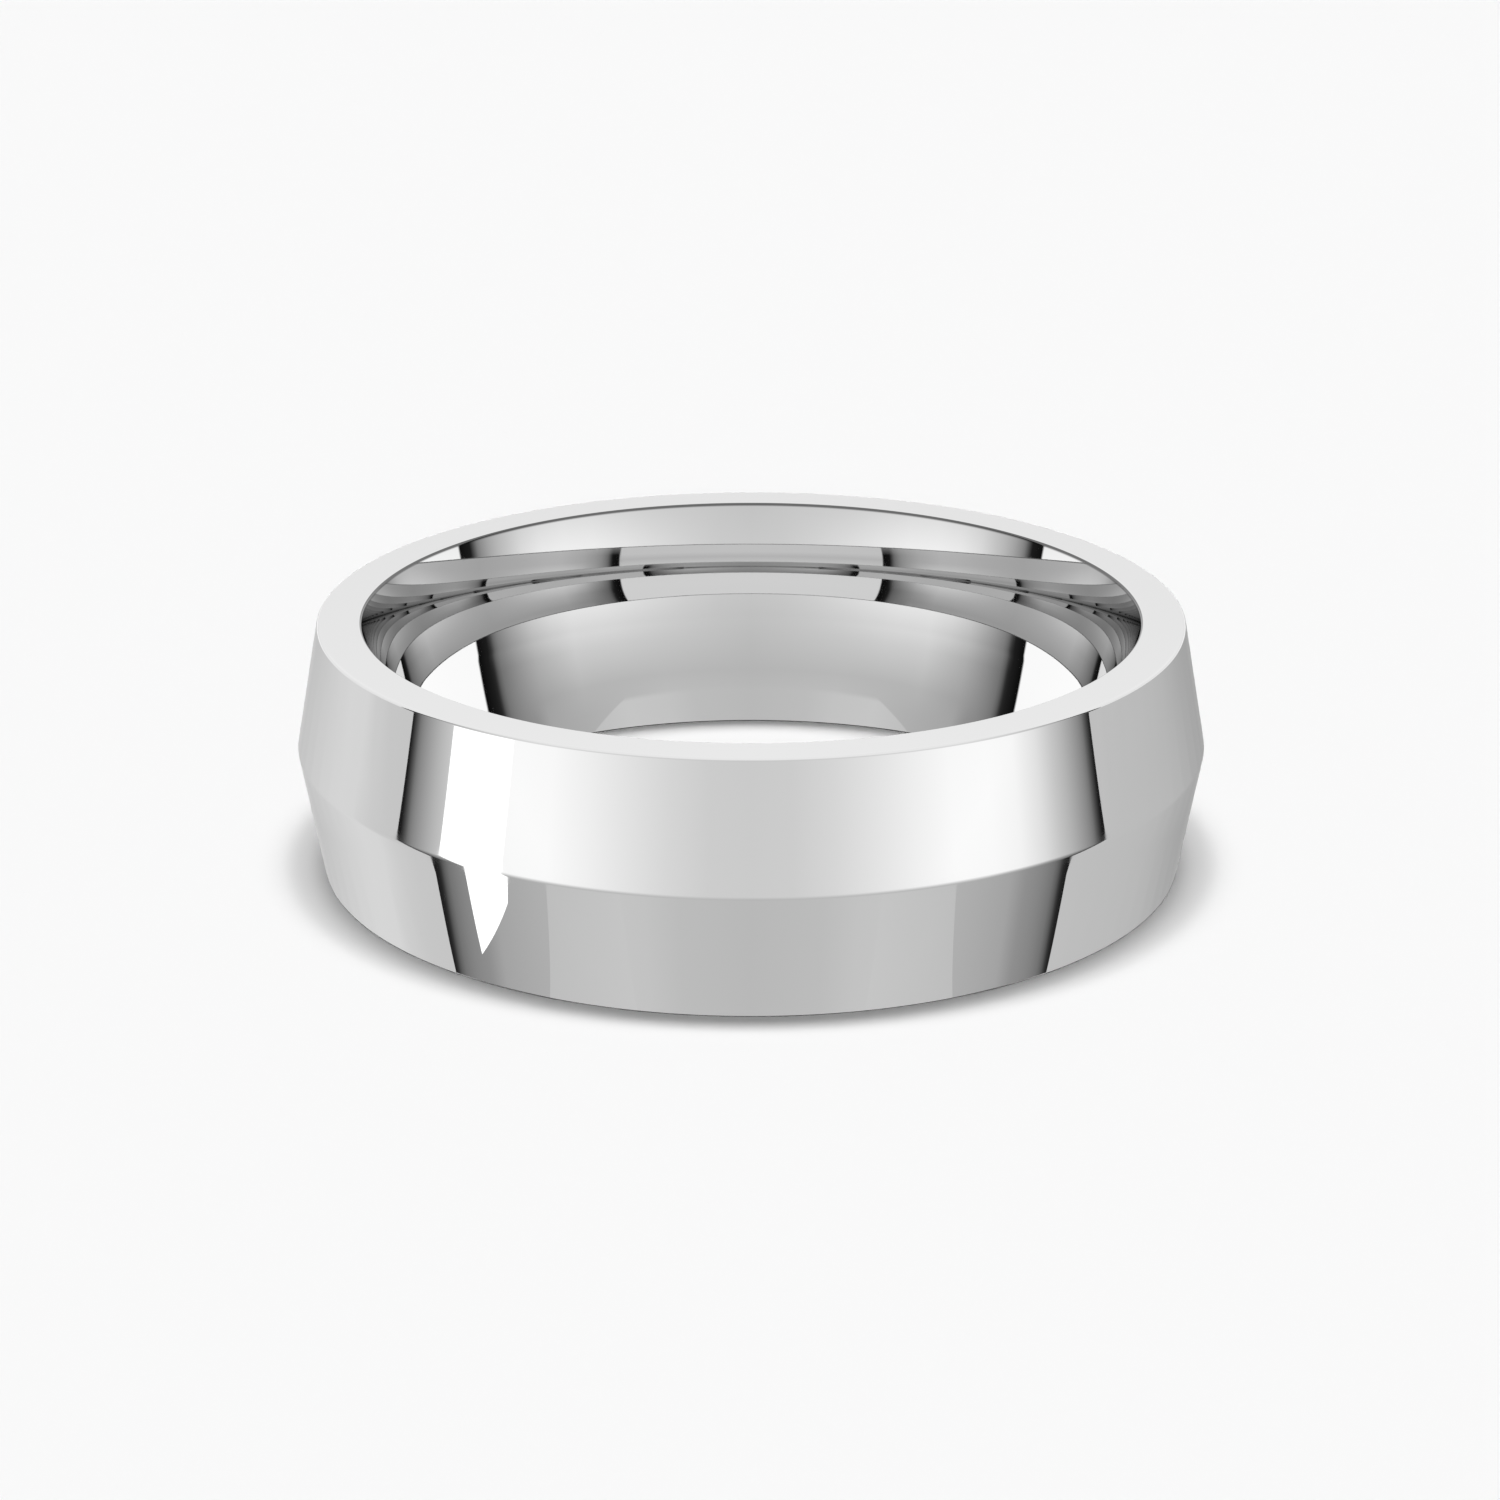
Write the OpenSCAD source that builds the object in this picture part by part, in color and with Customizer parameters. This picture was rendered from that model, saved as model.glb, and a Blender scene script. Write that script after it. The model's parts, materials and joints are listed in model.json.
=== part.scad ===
// Plain wedding band, turned from one piece of metal.
// The outside is two flat bevels that meet in a ridge at the middle of the width. The two edge
// faces are flat. The inside is a comfort fit: a narrow straight land with a long curve on each
// side of it, opening towards the edge faces.
// The origin is the centre of the finger hole, and +Z runs along the finger.

/* [Finger size] */
// Inner diameter on the land, which is the ring's size
finger_d = 17.65; // [13:0.05:24]

/* [Wall] */
// Width of the band, from one edge face to the other
band_w = 6; // [4:0.5:10]
// Width of each flat edge face, across the wall, before its edges are eased
edge_wall = 1.04; // [0.6:0.02:2]
// Angle in degrees between each outer bevel and the finger's direction
bevel_angle = 10.2; // [4:0.2:20]

/* [Comfort fit] */
// How far the inside opens, from the land to an edge face
comfort_rise = 0.4; // [0.2:0.02:0.8]
// Width of the straight land at the middle of the inside
land_w = 0.4; // [0.2:0.1:2]

/* [Eased edges] */
// Radius that eases the ridge
ridge_round = 0.25; // [0.1:0.05:0.6]
// Radius that eases the inner and outer edges of each edge face
edge_round = 0.07; // [0.03:0.01:0.2]

/* [Hidden] */
$fn = 180;

half_w = band_w / 2;
half_land = land_w / 2;
bore_r = finger_d / 2;
inner_edge_r = bore_r + comfort_rise;
outer_edge_r = inner_edge_r + edge_wall;
ridge_r = outer_edge_r + half_w * tan(bevel_angle);

// The curve from the land to an edge face: how far it runs along the finger, and its radius
comfort_run = half_w - half_land;
comfort_r = (comfort_run ^ 2 + comfort_rise ^ 2) / (2 * comfort_rise);
comfort_centre = [bore_r + comfort_r, half_land];

// Centres of the easing circles, and the directions in which they touch the bevels and the curve
bevel_out = [cos(bevel_angle), sin(bevel_angle)];
ridge_centre = [ridge_r - ridge_round / cos(bevel_angle), 0];
outer_centre = [outer_edge_r - edge_round * tan((90 - bevel_angle) / 2), half_w - edge_round];
inner_centre = [
    comfort_centre.x - sqrt((comfort_r - edge_round) ^ 2 - (comfort_run - edge_round) ^ 2),
    half_w - edge_round
];
curve_out = (inner_centre - comfort_centre) / (comfort_r - edge_round);

// How far a cutting shape runs past the surface that it cuts
past = 1;

// Sets the children once above the middle of the width and once mirrored below it
module both_edges() {
    for (side = [0, 1]) mirror([0, side]) children();
}

// The sharp wall section: a straight land side, the edge faces and the two bevels
module sharp_section() {
    polygon([
        [bore_r, -half_w],
        [outer_edge_r, -half_w],
        [ridge_r, 0],
        [outer_edge_r, half_w],
        [bore_r, half_w]
    ]);
}

// What the comfort curve takes away between the land and one edge face
module comfort_cut() {
    difference() {
        translate([bore_r - past, half_land]) square([comfort_rise + past, comfort_run + past]);
        translate(comfort_centre) circle(comfort_r);
    }
}

// What easing takes off a corner: the wedge outside two touching points, less the circle
module easing_cut(centre, radius, first_out, second_out) {
    middle_out = (first_out + second_out) / norm(first_out + second_out);
    difference() {
        polygon([
            centre + radius * first_out,
            centre + (radius + past) * first_out,
            centre + (radius + 2 * past) * middle_out,
            centre + (radius + past) * second_out,
            centre + radius * second_out
        ]);
        translate(centre) circle(radius);
    }
}

// The wall's finished section, with the radius along X and the finger's direction along Y
module wall_section() {
    difference() {
        sharp_section();
        both_edges() comfort_cut();
        both_edges() easing_cut(inner_centre, edge_round, curve_out, [0, 1]);
        both_edges() easing_cut(outer_centre, edge_round, [0, 1], bevel_out);
        easing_cut(ridge_centre, ridge_round, bevel_out, [bevel_out.x, -bevel_out.y]);
    }
}

module band() {
    color("gainsboro") rotate_extrude() wall_section();
}

band();
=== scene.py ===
"""A mirror-polished wedding band lying on a pale floor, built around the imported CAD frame."""
import json
import math

import bmesh
import bpy
from mathutils import Matrix, Vector


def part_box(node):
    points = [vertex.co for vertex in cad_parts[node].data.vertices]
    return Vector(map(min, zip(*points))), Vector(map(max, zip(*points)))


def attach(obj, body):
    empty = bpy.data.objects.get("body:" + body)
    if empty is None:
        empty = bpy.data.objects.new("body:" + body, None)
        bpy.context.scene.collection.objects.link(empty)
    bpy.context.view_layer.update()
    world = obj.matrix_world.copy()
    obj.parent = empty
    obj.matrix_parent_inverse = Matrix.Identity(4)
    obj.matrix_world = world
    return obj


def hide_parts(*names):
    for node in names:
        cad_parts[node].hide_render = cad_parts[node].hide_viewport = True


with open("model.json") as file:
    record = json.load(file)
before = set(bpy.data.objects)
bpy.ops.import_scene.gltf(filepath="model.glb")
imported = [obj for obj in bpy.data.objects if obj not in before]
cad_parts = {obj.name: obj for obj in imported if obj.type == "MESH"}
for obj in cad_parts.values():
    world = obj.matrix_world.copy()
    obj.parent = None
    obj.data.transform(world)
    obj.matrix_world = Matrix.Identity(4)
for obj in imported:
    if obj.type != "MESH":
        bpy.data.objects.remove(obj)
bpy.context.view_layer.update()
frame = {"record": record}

MM = 0.001

# The band's own sizes. The hole comes from the record and the width from the CAD box.
FINGER_HOLE = next(m for m in frame["record"]["mounts"] if m["name"] == "finger_hole")
BORE_R = FINGER_HOLE["dims"]["r_mm"] * MM
LOWEST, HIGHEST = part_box("band")
HALF_WIDTH = HIGHEST.z
COMFORT_RISE = 0.4 * MM
EDGE_WALL = 1.04 * MM
HALF_LAND = 0.08 * MM
BEVEL_ANGLE = math.radians(10.2)
RIDGE_ROUND = 0.25 * MM
EDGE_ROUND = 0.07 * MM
STEPS_AROUND = 480

# The camera, as the photograph stands to the band
CAMERA_ELEVATION = math.radians(19.78)
CAMERA_DISTANCE = 95.03 * MM
CAMERA_SIDE = -0.028 * MM
CAMERA_DROP = -0.459 * MM
CAMERA_NEAREST, CAMERA_FARTHEST = 1 * MM, 10.0
LENS_MM = 95.06
SENSOR_MM = 36

# How much light the metal reflects, and the tone of the painted dark reflection line on the eased upper
# inner edge
METAL_TONE = 0.65
PAINTED_EDGE_REFLECTION_TONE = 0.12

# The metal's finish: how fine its marks are, and what each of them adds to the roughness
HAIRLINE_SCALE = (700.0, 9000.0, 16000.0)
SCUFF_SCALE = (9000.0, 6000.0, 900.0)
SCUFF_TURN = (0.0, math.radians(32.0), 0.0)
SCUFFS_FROM, SCUFFS_FULL = 0.62, 0.74
HANDLING_SCALE = 350.0
POLISHED_ROUGHNESS = 0.008
HAIRLINE_ROUGHNESS = 0.012
HANDLING_ROUGHNESS = 0.012
SCUFF_ROUGHNESS = 0.025
WEAR_ROUGHNESS = 0.05
SCUFF_RELIEF = -0.5
RELIEF_STRENGTH = 0.03
RELIEF_DEPTH = 0.0004 * MM

# The pale floor and the backdrop
FLOOR_LEVEL = LOWEST.z
FLOOR_RADIUS = 3.0
FLOOR_SIDES = 128
FLOOR_ALBEDO = 0.9
BACKDROP_TONE = 0.956

# How often light may bounce between the inside faces before it is given up
MIRROR_BOUNCES = 24

# The two lights overhead, one tilted to each side, and the share of the floor's light from each
KEY_SHARE = 0.36
KEY_SPREAD = math.radians(15)
KEY_TILT = math.radians(7.5)


def placed(name, mesh):
    """The finished mesh as an object in the scene."""
    data = bpy.data.meshes.new(name)
    mesh.to_mesh(data)
    mesh.free()
    piece = bpy.data.objects.new(name, data)
    bpy.context.scene.collection.objects.link(piece)
    return piece


# ---------------------------------------------------------------- the band's mesh

def arc(centre, radius, start, end, steps):
    """Points (r, z, normal angle) along an arc of the section; angles are from the +r direction."""
    points = []
    for i in range(steps + 1):
        angle = start + (end - start) * i / steps
        r = centre[0] + radius * math.cos(angle)
        z = centre[1] + radius * math.sin(angle)
        points.append((r, z, angle))
    return points


def straight(start, end, normal, steps):
    """Points along a straight stretch, its ends left out, with one normal angle."""
    points = []
    for i in range(1, steps):
        share = i / steps
        r = start[0] + (end[0] - start[0]) * share
        z = start[1] + (end[1] - start[1]) * share
        points.append((r, z, normal))
    return points


def upper_section():
    """The upper half of the wall's section, from the middle of the land round to the ridge."""
    inner_edge_r = BORE_R + COMFORT_RISE
    outer_edge_r = inner_edge_r + EDGE_WALL
    ridge_r = outer_edge_r + HALF_WIDTH * math.tan(BEVEL_ANGLE)
    run = HALF_WIDTH - HALF_LAND
    comfort_r = (run ** 2 + COMFORT_RISE ** 2) / (2 * COMFORT_RISE)
    comfort_centre = (BORE_R + comfort_r, HALF_LAND)
    ease_z = HALF_WIDTH - EDGE_ROUND
    ease_reach = math.sqrt((comfort_r - EDGE_ROUND) ** 2 - (run - EDGE_ROUND) ** 2)
    inner_ease = (comfort_centre[0] - ease_reach, ease_z)
    outer_ease = (outer_edge_r - EDGE_ROUND * math.tan((math.pi / 2 - BEVEL_ANGLE) / 2), ease_z)
    ridge_centre = (ridge_r - RIDGE_ROUND / math.cos(BEVEL_ANGLE), 0.0)
    curve_end = math.pi - math.asin((run - EDGE_ROUND) / (comfort_r - EDGE_ROUND))

    land = [(BORE_R, 0.0, math.pi)]
    comfort = arc(comfort_centre, comfort_r, math.pi, curve_end, 28)
    inner = arc(inner_ease, EDGE_ROUND, curve_end, math.pi / 2, 8)
    outer = arc(outer_ease, EDGE_ROUND, math.pi / 2, BEVEL_ANGLE, 8)
    ridge = arc(ridge_centre, RIDGE_ROUND, BEVEL_ANGLE, 0.0, 4)
    face = straight(inner[-1], outer[0], math.pi / 2, 6)
    bevel = straight(outer[-1], ridge[0], BEVEL_ANGLE, 14)
    return land + comfort + inner[1:] + face + outer + bevel + ridge


def turned_section():
    """The section turned round the finger's axis, and the true normals of its curves."""
    upper = upper_section()
    lower = [(r, -z, -angle) for r, z, angle in reversed(upper[1:-1])]
    section = upper + lower
    mesh = bmesh.new()
    rings = []
    normals = []
    for i in range(STEPS_AROUND):
        turn = 2 * math.pi * i / STEPS_AROUND
        across, along = math.cos(turn), math.sin(turn)
        rings.append([mesh.verts.new((r * across, r * along, z)) for r, z, _ in section])
        normals += [(math.cos(a) * across, math.cos(a) * along, math.sin(a)) for _, _, a in section]
    for i in range(STEPS_AROUND):
        this, after = rings[i], rings[(i + 1) % STEPS_AROUND]
        for j in range(len(section)):
            k = (j + 1) % len(section)
            mesh.faces.new((this[j], this[k], after[k], after[j]))
    bmesh.ops.recalc_face_normals(mesh, faces=mesh.faces)
    return mesh, normals


# ---------------------------------------------------------------- shader helpers

class Nodes:
    """A node tree under construction, with short calls for the nodes used here."""

    def __init__(self, tree):
        self.tree = tree
        tree.nodes.clear()

    def add(self, kind, settings=None, **inputs):
        node = self.tree.nodes.new(kind)
        for name, value in (settings or {}).items():
            setattr(node, name, value)
        for name, value in inputs.items():
            self.feed(node.inputs[name.replace("_", " ")], value)
        return node

    def feed(self, socket, value):
        if isinstance(value, bpy.types.NodeSocket):
            self.tree.links.new(value, socket)
        else:
            socket.default_value = value

    def math(self, operation, *values):
        node = self.add("ShaderNodeMath", {"operation": operation})
        for socket, value in zip(node.inputs, values):
            self.feed(socket, value)
        return node.outputs[0]

    def ramp(self, value, stops):
        """A tone ramp over stops of (value, tone), the values rising."""
        low, high = stops[0][0], stops[-1][0]
        span = self.add("ShaderNodeMapRange")
        for socket, number in zip(span.inputs, (value, low, high, 0.0, 1.0)):
            self.feed(socket, number)
        node = self.add("ShaderNodeValToRGB", Fac=span.outputs[0])
        elements = node.color_ramp.elements
        while len(elements) < len(stops):
            elements.new(0.5)
        for element, (at, tone) in zip(elements, stops):
            element.position = (at - low) / (high - low)
            element.color = (tone, tone, tone, 1)
        return node.outputs["Color"]

    def step(self, value, start, end, kind="SMOOTHSTEP"):
        """0 up to start, 1 from end on, and a smooth or a linear rise between them."""
        node = self.add("ShaderNodeMapRange", {"interpolation_type": kind})
        for socket, number in zip(node.inputs, (value, start, end, 0.0, 1.0)):
            self.feed(socket, number)
        return node.outputs[0]

    def noise(self, place, scale, detail, roughness):
        node = self.add("ShaderNodeTexNoise", Vector=place, Scale=scale, Detail=detail, Roughness=roughness)
        return node.outputs[0]

    def blend(self, first, second, share):
        """first where share is 0 and second where it is 1."""
        kept = self.math("MULTIPLY", first, self.math("SUBTRACT", 1.0, share))
        return self.math("MULTIPLY_ADD", share, second, kept)


def new_material(name):
    """An empty material and its nodes."""
    material = bpy.data.materials.new(name)
    material.use_nodes = True
    return material, Nodes(material.node_tree)


# ---------------------------------------------------------------- the polished metal

def polished_metal():
    """Bright white precious metal: a mirror with hairline polishing marks, softly worn edges and a painted
    dark reflection line along the upper inner edge.
    """
    material, n = new_material("polished_metal")
    place = n.add("ShaderNodeTexCoord").outputs["Object"]
    x, y, z = n.add("ShaderNodeSeparateXYZ", Vector=place).outputs
    radius = n.math("SQRT", n.math("ADD", n.math("POWER", x, 2.0), n.math("POWER", y, 2.0)))

    # Coordinates that run round the finger: arc length, radius and width
    arc_length = n.math("MULTIPLY", n.math("ARCTAN2", y, x), BORE_R)
    round_finger = n.add("ShaderNodeCombineXYZ", X=arc_length, Y=radius, Z=z).outputs[0]

    # Polishing marks: short hairlines stretched round the finger, and a few crossing ones
    stretched = n.add("ShaderNodeMapping", Vector=round_finger, Scale=HAIRLINE_SCALE).outputs[0]
    hairlines = n.noise(stretched, 1.0, 3.0, 0.6)
    crossing = n.add("ShaderNodeMapping", Vector=round_finger, Scale=SCUFF_SCALE, Rotation=SCUFF_TURN)
    scuffs = n.step(n.noise(crossing.outputs[0], 1.0, 2.0, 0.5), SCUFFS_FROM, SCUFFS_FULL)
    handling = n.noise(place, HANDLING_SCALE, 2.0, 0.5)

    # Wear: the ridge and the eased edges are a little duller than the faces between them
    ridge_wear = n.step(radius, HIGHEST.x - 0.06 * MM, HIGHEST.x)
    width = n.math("ABSOLUTE", z)
    edge_wear = n.step(width, HALF_WIDTH - 0.1 * MM, HALF_WIDTH - 0.02 * MM)
    face = n.step(width, HALF_WIDTH - 0.012 * MM, HALF_WIDTH - 0.002 * MM)
    wear = n.math("MAXIMUM", ridge_wear, n.math("SUBTRACT", edge_wear, face))

    roughness = n.math("MULTIPLY_ADD", hairlines, HAIRLINE_ROUGHNESS, POLISHED_ROUGHNESS)
    roughness = n.math("MULTIPLY_ADD", handling, HANDLING_ROUGHNESS, roughness)
    roughness = n.math("MULTIPLY_ADD", scuffs, SCUFF_ROUGHNESS, roughness)
    roughness = n.math("MULTIPLY_ADD", wear, WEAR_ROUGHNESS, roughness)

    relief = n.math("MULTIPLY_ADD", scuffs, SCUFF_RELIEF, hairlines)
    bump = n.add("ShaderNodeBump", Strength=RELIEF_STRENGTH, Distance=RELIEF_DEPTH, Height=relief)

    # Painted dark reflection: the metal's base colour is darkened to a thin line along the eased upper
    # inner edge
    inner_edge_r = BORE_R + COMFORT_RISE
    past_curve = n.step(radius, inner_edge_r - 0.025 * MM, inner_edge_r - 0.01 * MM)
    past_ease = n.step(radius, inner_edge_r + 0.025 * MM, inner_edge_r + 0.04 * MM)
    upper_half = n.step(z, 0.0, HALF_WIDTH / 2)
    painted_reflection_line = n.math("MULTIPLY", n.math("SUBTRACT", past_curve, past_ease), upper_half)
    tone = n.blend(METAL_TONE, PAINTED_EDGE_REFLECTION_TONE, painted_reflection_line)
    colour = n.add("ShaderNodeCombineColor", Red=tone, Green=tone, Blue=tone).outputs[0]
    metal = n.add("ShaderNodeBsdfPrincipled", Base_Color=colour, Metallic=1.0, Roughness=roughness,
                  Normal=bump.outputs[0])
    n.add("ShaderNodeOutputMaterial", Surface=metal.outputs[0])
    return material


def band():
    """The whole ring, one piece of polished metal."""
    mesh, normals = turned_section()
    piece = placed("polished_band", mesh)
    piece.data.shade_smooth()
    piece.data.normals_split_custom_set_from_vertices(normals)
    piece.data.materials.append(polished_metal())
    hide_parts("band")
    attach(piece, "root")


# ---------------------------------------------------------------- the studio

# Tones of the surroundings as they look in the metal, in rows of elevation, sweep tone and stops.
# The stops run round from the camera's side: degrees of azimuth and the tone there. A black flag
# stands at each side, and beyond it there is one even tone, the white sweep behind the band.
HIGH_FLAG = [(87, 0.37), (90, 0.26), (91.3, 0.20), (92.5, 0.10), (94, 0.012), (98.8, 0.004)]
LOW_FLAG = [(87, 0.21), (89.3, 0.17), (91, 0.107), (92.4, 0.022), (94, 0.012), (98.8, 0.002)]
FLAG_EDGE = 99.1
ROOM = [(0, 0.54), (30, 0.60), (50, 0.66), (60, 0.665), (75, 0.56), (83, 0.45)]
SURROUNDINGS = [
    (22, 0.80, ROOM + HIGH_FLAG),
    (15, 0.68, ROOM + HIGH_FLAG),
    (-3, 0.94, [(0, 0.60), (10, 0.61), (20, 0.68), (30, 0.78), (40, 0.88), (50, 0.96), (60, 0.965),
                (68, 0.93), (75, 0.77), (80, 0.59), (83.8, 0.48)] + HIGH_FLAG),
    (-22, 0.95, [(0, 0.50), (30, 0.565), (45, 0.60), (60, 0.605), (75, 0.42), (83, 0.28)] + LOW_FLAG),
    (-33, 0.94, [(0, 0.455), (30, 0.475), (60, 0.455), (75, 0.35), (83, 0.26)] + LOW_FLAG),
    (-41, 0.94, [(0, 0.48), (20, 0.50), (30, 0.51), (45, 0.47), (60, 0.42), (75, 0.37), (80, 0.26),
                 (85, 0.235)] + LOW_FLAG)
]
OVERHEAD_ELEVATION, OVERHEAD_TONE = 60, 0.8
UNDERNEATH_FROM, UNDERNEATH_FULL, UNDERNEATH_TONE = -55, -75, 0.5
# The pale table in front of the band: its far edge, and its sides, which draw in towards that edge
TABLE_TONES = [(0, 0.48), (20, 0.50), (30, 0.54), (45, 0.56), (61, 0.51)]
TABLE_TOP = -39
TABLE_SIDE = 59.2
TABLE_SIDE_ELEVATION = -45.7
TABLE_SIDE_SLANT = 1.89


def studio_surroundings():
    """What the metal reflects, drawn by direction, and the plain backdrop that the camera sees."""
    world = bpy.data.worlds.new("studio")
    world.use_nodes = True
    bpy.context.scene.world = world
    n = Nodes(world.node_tree)
    direction = n.add("ShaderNodeTexCoord").outputs["Generated"]
    x, y, z = n.add("ShaderNodeSeparateXYZ", Vector=direction).outputs
    degrees = math.degrees(1)
    azimuth = n.math("MULTIPLY", n.math("ARCTAN2", x, n.math("MULTIPLY", y, -1.0)), degrees)
    elevation = n.math("MULTIPLY", n.math("ARCSINE", z), degrees)
    away = n.math("ABSOLUTE", azimuth)
    down = n.math("MULTIPLY", elevation, -1.0)

    tone = OVERHEAD_TONE
    above = OVERHEAD_ELEVATION
    for height, sweep, stops in SURROUNDINGS:
        row = n.ramp(away, stops + [(FLAG_EDGE, sweep), (180, sweep)])
        tone = n.blend(tone, row, n.step(down, -above, -height, "LINEAR"))
        above = height

    drawn_in = n.math("SUBTRACT", elevation, TABLE_SIDE_ELEVATION)
    aside = n.math("MULTIPLY_ADD", drawn_in, TABLE_SIDE_SLANT, away)
    within_sides = n.math("SUBTRACT", 1.0, n.step(aside, TABLE_SIDE - 1, TABLE_SIDE))
    this_side = n.step(down, -TABLE_TOP - 1, -TABLE_TOP + 1)
    tone = n.blend(tone, n.ramp(away, TABLE_TONES), n.math("MULTIPLY", within_sides, this_side))
    tone = n.blend(tone, UNDERNEATH_TONE, n.step(down, -UNDERNEATH_FROM, -UNDERNEATH_FULL))
    reflected = n.math("DIVIDE", tone, METAL_TONE)

    ray = n.add("ShaderNodeLightPath").outputs
    strength = n.blend(reflected, BACKDROP_TONE, ray["Is Camera Ray"])
    background = n.add("ShaderNodeBackground", Strength=strength)
    background.inputs["Color"].default_value = (1, 1, 1, 1)
    n.add("ShaderNodeOutputWorld", Surface=background.outputs[0])
    world.cycles_visibility.diffuse = False


# The cards lie on the floor beside the band, their corners in mm from the band's centre. Only the
# outside of the band reflects them, because the inside looks down past them. The grey ones fan out
# in blades. Each blade starts at a place round the band's foot, in degrees from the camera's side,
# and runs off along an azimuth; its tone changes with that azimuth.
FIRST_BLADE = [(6.49, -7.87), (10.6, -7.87), (31.4, -5.15), (200.0, 7.95)]
FIRST_FOOT, FIRST_AZIMUTH = 39.5, 94.0
SIDE_FOOT, SIDE_AZIMUTH = 77.6, 172.0
BLADE_CORNERS = [(10.2, 0.0), (10.7, 4.1), (10.8, 25.0), (10.8, 200.0)]
BLADES = 40
GREY_TONES = {
    "left": [(94, 0.555), (106, 0.56), (113, 0.64), (120, 0.655), (132, 0.60), (147, 0.50),
             (160, 0.42)],
    "right": [(94, 0.515), (120, 0.475), (132, 0.435), (147, 0.345), (160, 0.29)]
}
WHITE_LEFT_EDGE = [(-6.95, -8.66), (-9.9, -9.15), (-34.8, -12.95), (-200.0, -42.0)]
WHITE_RIGHT_EDGE = [(-8.05, -10.2), (-8.9, -10.75), (-39.9, -27.7), (-200.0, -115.4)]
WHITE_TONE = 1.3
# The table's side as the outside of the band reflects it, from nearer by
TABLE_INNER_EDGE = [(2.48, -9.96), (5.02, -13.41)]
TABLE_OUTER_EDGE = [(4.43, -9.25), (7.76, -11.95)]
TABLE_EDGE_TONES = [0.556, 0.51]
# The floor right under the band gets no light
CONTACT_RADII = (9.19, 10.28)
CONTACT_TONE = 0.06
CONTACT_LIFT = 0.001 * MM


def tone_at(stops, value):
    """The tone between two stops of (value, tone), and the end tones beyond them."""
    for (start, first), (end, second) in zip(stops, stops[1:]):
        if value <= end:
            share = max(0.0, (value - start) / (end - start))
            return first + (second - first) * share
    return stops[-1][1]


def floor_card(name, rows, tones, lift=0.0):
    """A glowing card on the floor that only the metal sees. Each row of corners has one tone."""
    mesh = bmesh.new()
    shade = mesh.verts.layers.float_color.new("tone")
    grid = []
    for corners, tone in zip(rows, tones):
        grid.append([mesh.verts.new((px * MM, py * MM, 0)) for px, py in corners])
        for corner in grid[-1]:
            corner[shade] = (tone, tone, tone, 1)
    for this, after in zip(grid, grid[1:]):
        for i in range(len(this) - 1):
            mesh.faces.new((this[i], this[i + 1], after[i + 1], after[i]))
    card = placed(name, mesh)
    card.location.z = FLOOR_LEVEL + lift
    card.visible_camera = False
    card.visible_diffuse = False
    card.visible_shadow = False
    material, n = new_material(name)
    tone = n.add("ShaderNodeAttribute", {"attribute_name": "tone"}).outputs["Color"]
    glow = n.add("ShaderNodeEmission", Color=tone, Strength=1 / METAL_TONE)
    n.add("ShaderNodeOutputMaterial", Surface=glow.outputs[0])
    card.data.materials.append(material)
    return card


def grey_card(name, side):
    """The grey card beside and behind the band, as a fan of blades from the front to the back."""
    rows = [[(side * px, py) for px, py in FIRST_BLADE]]
    tones = [GREY_TONES[name][0][1]]
    for i in range(1, BLADES + 1):
        foot = FIRST_FOOT + (180 - FIRST_FOOT) * i / BLADES
        share = (foot - FIRST_FOOT) / (SIDE_FOOT - FIRST_FOOT)
        azimuth = min(180.0, FIRST_AZIMUTH + (SIDE_AZIMUTH - FIRST_AZIMUTH) * share)
        across, along = math.sin(math.radians(azimuth)), -math.cos(math.radians(azimuth))
        foot_x, foot_y = math.sin(math.radians(foot)), -math.cos(math.radians(foot))
        rows.append([(side * (foot_x * radius + across * reach), foot_y * radius + along * reach)
                     for radius, reach in BLADE_CORNERS])
        tones.append(tone_at(GREY_TONES[name], azimuth))
    return floor_card("grey_card_" + name, rows, tones)


def white_card():
    """The white card on the camera's left, which makes the bright bar and the pointed glare."""
    return floor_card("white_card", [WHITE_LEFT_EDGE, WHITE_RIGHT_EDGE], [WHITE_TONE] * 2)


def table_card(name, side):
    """The part of the pale table that the outside of the band sees beside the middle."""
    rows = [[(side * px, py) for px, py in edge] for edge in (TABLE_INNER_EDGE, TABLE_OUTER_EDGE)]
    return floor_card("table_card_" + name, rows, TABLE_EDGE_TONES)


def contact_shade():
    """The dark strip of floor that the band stands on, as its lower edges reflect it."""
    turns = [2 * math.pi * i / STEPS_AROUND for i in range(STEPS_AROUND + 1)]
    rows = [[(r * math.cos(turn), r * math.sin(turn)) for r in CONTACT_RADII] for turn in turns]
    return floor_card("contact_shade", rows, [CONTACT_TONE] * len(rows), CONTACT_LIFT)


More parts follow.
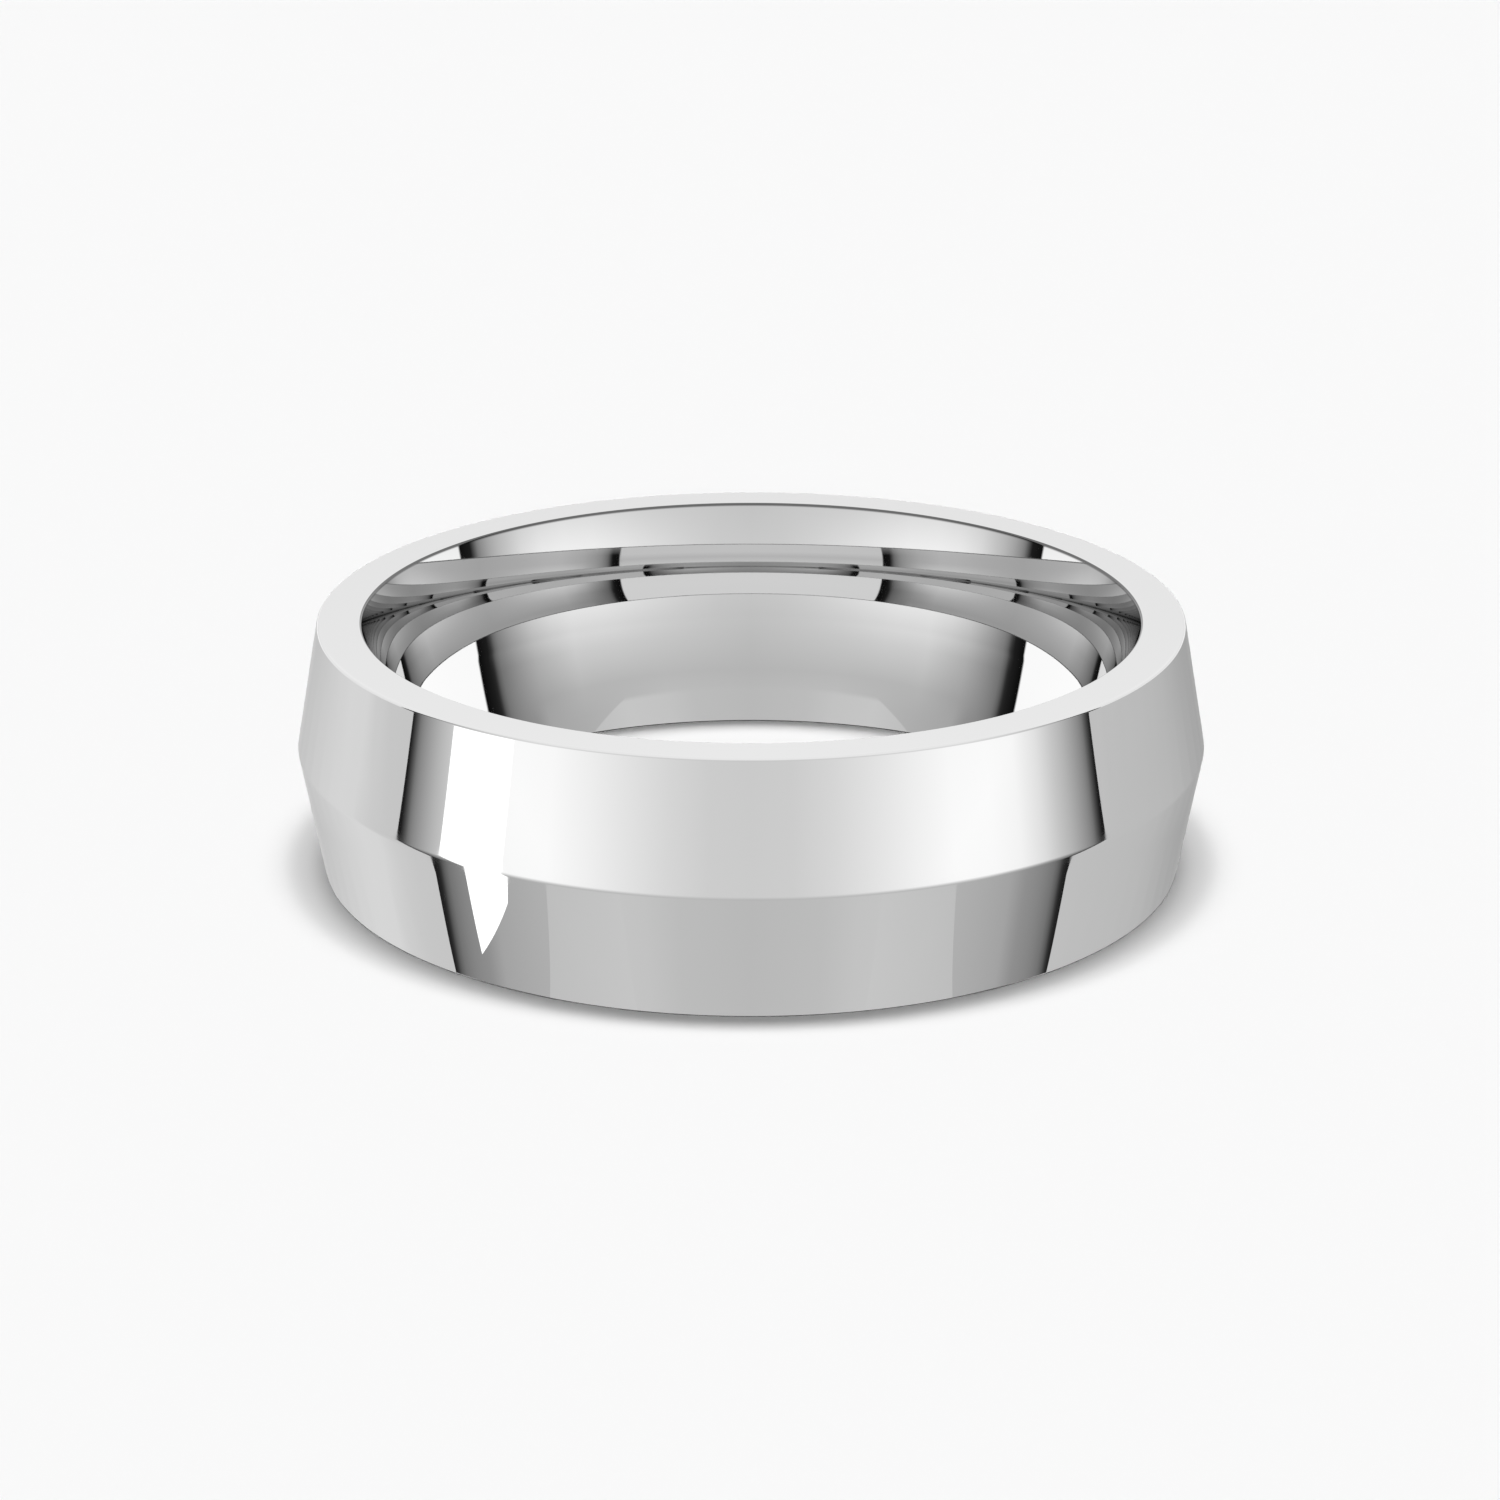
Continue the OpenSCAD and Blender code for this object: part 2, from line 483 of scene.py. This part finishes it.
def floor():
    """The wide pale floor. The metal doesn't see it, because its tones are in the surroundings."""
    mesh = bmesh.new()
    bmesh.ops.create_circle(mesh, cap_ends=True, segments=FLOOR_SIDES, radius=FLOOR_RADIUS)
    piece = placed("floor", mesh)
    piece.location.z = FLOOR_LEVEL
    piece.visible_glossy = False
    material, n = new_material("pale_floor")
    matte = n.add("ShaderNodeBsdfDiffuse")
    matte.inputs["Color"].default_value = (FLOOR_ALBEDO, FLOOR_ALBEDO, FLOOR_ALBEDO, 1)
    # From underneath the floor is clear, so that the band's lower side can be looked at
    clear = n.add("ShaderNodeBsdfTransparent")
    facing = n.add("ShaderNodeNewGeometry").outputs["Backfacing"]
    sheet = n.add("ShaderNodeMixShader", Fac=facing)
    n.feed(sheet.inputs[1], matte.outputs[0])
    n.feed(sheet.inputs[2], clear.outputs[0])
    n.add("ShaderNodeOutputMaterial", Surface=sheet.outputs[0])
    piece.data.materials.append(material)
    return piece


def floor_light(name, share, spread=0.0, tilt=0.0, shadow=True):
    """A far light overhead that gives the floor its share of the backdrop's tone."""
    light = bpy.data.lights.new(name, "SUN")
    light.energy = share * math.pi * BACKDROP_TONE / FLOOR_ALBEDO
    light.angle = spread
    light.use_shadow = shadow
    lamp = bpy.data.objects.new(name, light)
    lamp.rotation_euler.y = tilt
    lamp.visible_glossy = False
    bpy.context.scene.collection.objects.link(lamp)


def render_settings():
    """Enough bounces for the inside's reflections, and plain tones."""
    scene = bpy.context.scene
    scene.cycles.min_light_bounces = MIRROR_BOUNCES
    scene.cycles.max_bounces = MIRROR_BOUNCES
    scene.cycles.glossy_bounces = MIRROR_BOUNCES
    scene.cycles.caustics_reflective = False
    scene.view_settings.view_transform = "Standard"


def camera():
    """The camera in front of the band, looking down on it."""
    data = bpy.data.cameras.new("camera")
    data.lens = LENS_MM
    data.sensor_width = SENSOR_MM
    data.clip_start = CAMERA_NEAREST
    data.clip_end = CAMERA_FARTHEST
    view = Vector((0, math.cos(CAMERA_ELEVATION), -math.sin(CAMERA_ELEVATION)))
    up = Vector((0, math.sin(CAMERA_ELEVATION), math.cos(CAMERA_ELEVATION)))
    right = Vector((1, 0, 0))
    place = CAMERA_SIDE * right + CAMERA_DROP * up - CAMERA_DISTANCE * view
    piece = bpy.data.objects.new("camera", data)
    turn = Matrix((right, up, -view)).transposed().to_4x4()
    piece.matrix_world = Matrix.Translation(place) @ turn
    bpy.context.scene.collection.objects.link(piece)
    bpy.context.scene.camera = piece


camera()
band()
studio_surroundings()
floor()
contact_shade()
white_card()
for name, side in (("left", -1), ("right", 1)):
    grey_card(name, side)
    table_card(name, side)
floor_light("left_light", KEY_SHARE, KEY_SPREAD, -KEY_TILT)
floor_light("right_light", KEY_SHARE, KEY_SPREAD, KEY_TILT)
floor_light("fill_light", 1 - 2 * KEY_SHARE, shadow=False)
render_settings()
